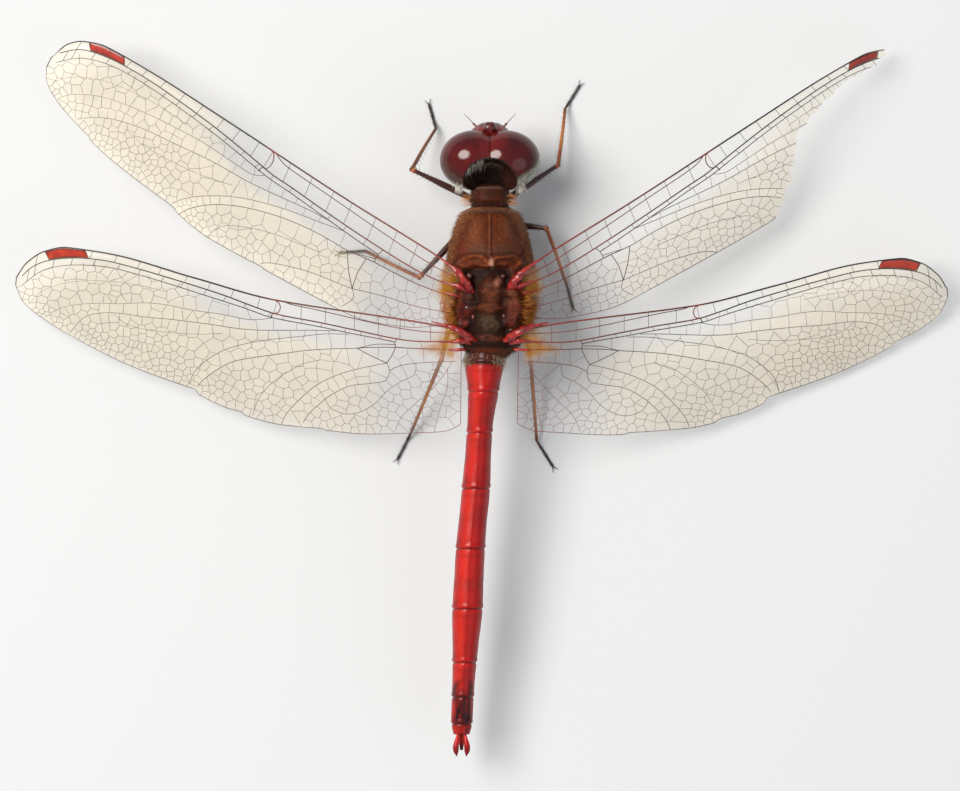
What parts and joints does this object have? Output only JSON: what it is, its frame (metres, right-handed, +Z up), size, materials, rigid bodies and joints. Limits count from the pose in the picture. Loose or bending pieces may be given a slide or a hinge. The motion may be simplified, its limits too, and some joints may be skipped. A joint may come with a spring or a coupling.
{
  "type": "dragonfly",
  "caption": "Life-size still model of a red darter dragonfly at rest on its feet, with spread drooping veined wings, large eyes and a slim red abdomen.",
  "frame": {"origin": "middle of the whole model's box, at the floor that its feet stand on", "axes": "+X towards the animal's left side, across the spread wings; the head faces -Y and the tail +Y; +Z up"},
  "size_m": [0.0592, 0.0452, 0.0084],
  "materials": {
    "thorax": "velvety red-brown cuticle under short fine hair",
    "nape": "dull black hollow back of the head, with a pale edge and hair",
    "eye": "glossy fine-faceted dome, dark maroon above and grey-green below",
    "face": "polished dark red cuticle",
    "mouth": "satin yellow-brown lips with dark edges",
    "feeler": "near-black bristle",
    "abdomen": "satin bright red rings with fine dark joints",
    "wing": "thin clear membrane, amber towards the tips, with dark and red veins",
    "vein": "fine raised tubes, red near the body and black outwards",
    "stigma": "opaque red cell near each wing's tip, edged in black",
    "leg": "satin dark brown, redder on the outer side",
    "shin": "satin orange-brown with black spines",
    "foot": "near-black with small hooked claws",
    "hair": "fine soft hairs, golden brown"
  },
  "bodies": {
    "root": {"head": "nape", "eye_left": "eye", "eye_right": "eye", "face": "face", "vertex": "face", "mouth": "mouth", "antenna_left": "feeler", "antenna_right": "feeler", "neck": "nape", "prothorax": "thorax", "thorax": "thorax", "abdomen_1": "abdomen", "abdomen_2": "abdomen", "abdomen_3": "abdomen", "abdomen_4": "abdomen", "abdomen_5": "abdomen", "abdomen_6": "abdomen", "abdomen_7": "abdomen", "abdomen_8": "abdomen", "abdomen_9": "abdomen", "abdomen_10": "abdomen", "cercus_left": "abdomen", "cercus_right": "abdomen", "epiproct": "abdomen", "wing_fore_left": "wing", "wing_fore_right": "wing", "wing_hind_left": "wing", "wing_hind_right": "wing", "coxa_front_left": "leg", "femur_front_left": "leg", "tibia_front_left": "shin", "tarsus_front_left": "foot", "coxa_front_right": "leg", "femur_front_right": "leg", "tibia_front_right": "shin", "tarsus_front_right": "foot", "coxa_middle_left": "leg", "femur_middle_left": "leg", "tibia_middle_left": "shin", "tarsus_middle_left": "foot", "coxa_middle_right": "leg", "femur_middle_right": "leg", "tibia_middle_right": "shin", "tarsus_middle_right": "foot", "coxa_hind_left": "leg", "femur_hind_left": "leg", "tibia_hind_left": "shin", "tarsus_hind_left": "foot", "coxa_hind_right": "leg", "femur_hind_right": "leg", "tibia_hind_right": "shin", "tarsus_hind_right": "foot"}
  },
  "joints": []
}
